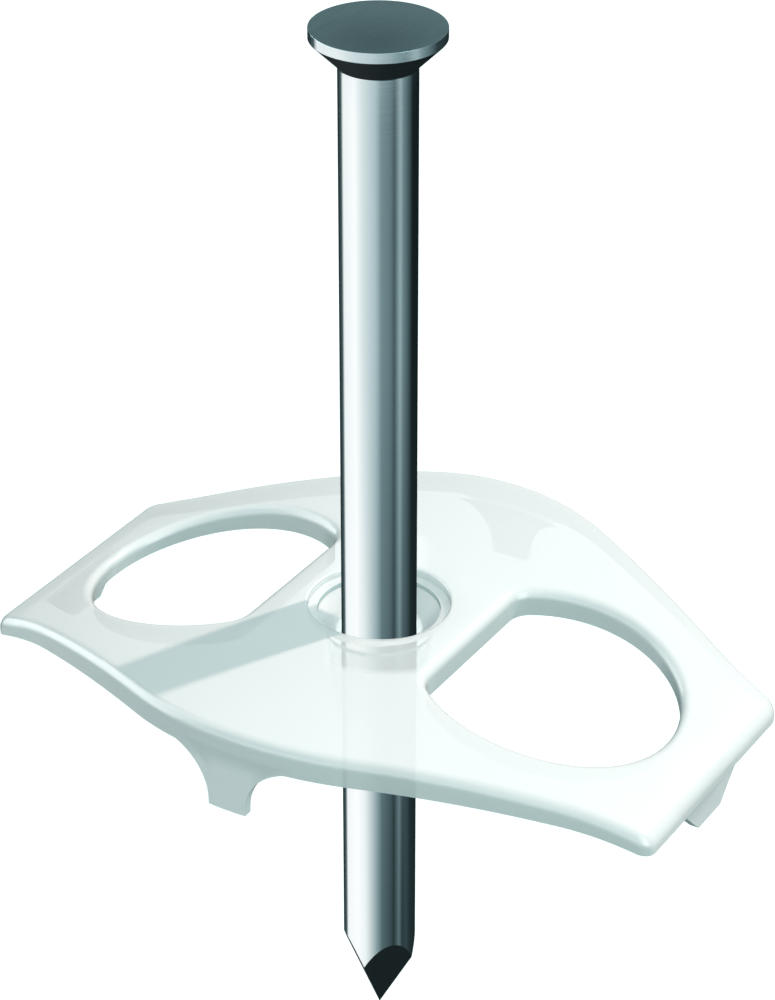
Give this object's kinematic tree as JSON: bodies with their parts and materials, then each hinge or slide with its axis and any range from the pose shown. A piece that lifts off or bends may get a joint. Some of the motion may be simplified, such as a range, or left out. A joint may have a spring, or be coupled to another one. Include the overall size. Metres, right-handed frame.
{
  "type": "nail-in cable clip",
  "caption": "Arched translucent plastic cable clip plate with D-shaped openings, small feet and a central sleeve for the steel nail that fixes it to a wall.",
  "frame": {"origin": "on the nail's axis, in the plane of the wall on which the end feet stand", "axes": "+Z along the nail towards its head, away from the wall; +X along the plate's length; +Y across the plate, along the cables"},
  "size_m": [0.02, 0.0148, 0.0297],
  "materials": {
    "plastic": "glossy translucent natural-white moulding",
    "steel": "bright drawn wire"
  },
  "bodies": {
    "plate": {"clip_plate": "plastic"},
    "nail": {"nail": "steel"}
  },
  "joints": [
    {"name": "nail_drive", "type": "slide", "parent": "plate", "child": "nail", "axis": [0, 0, -1], "range_m": [0, 0.016]}
  ]
}
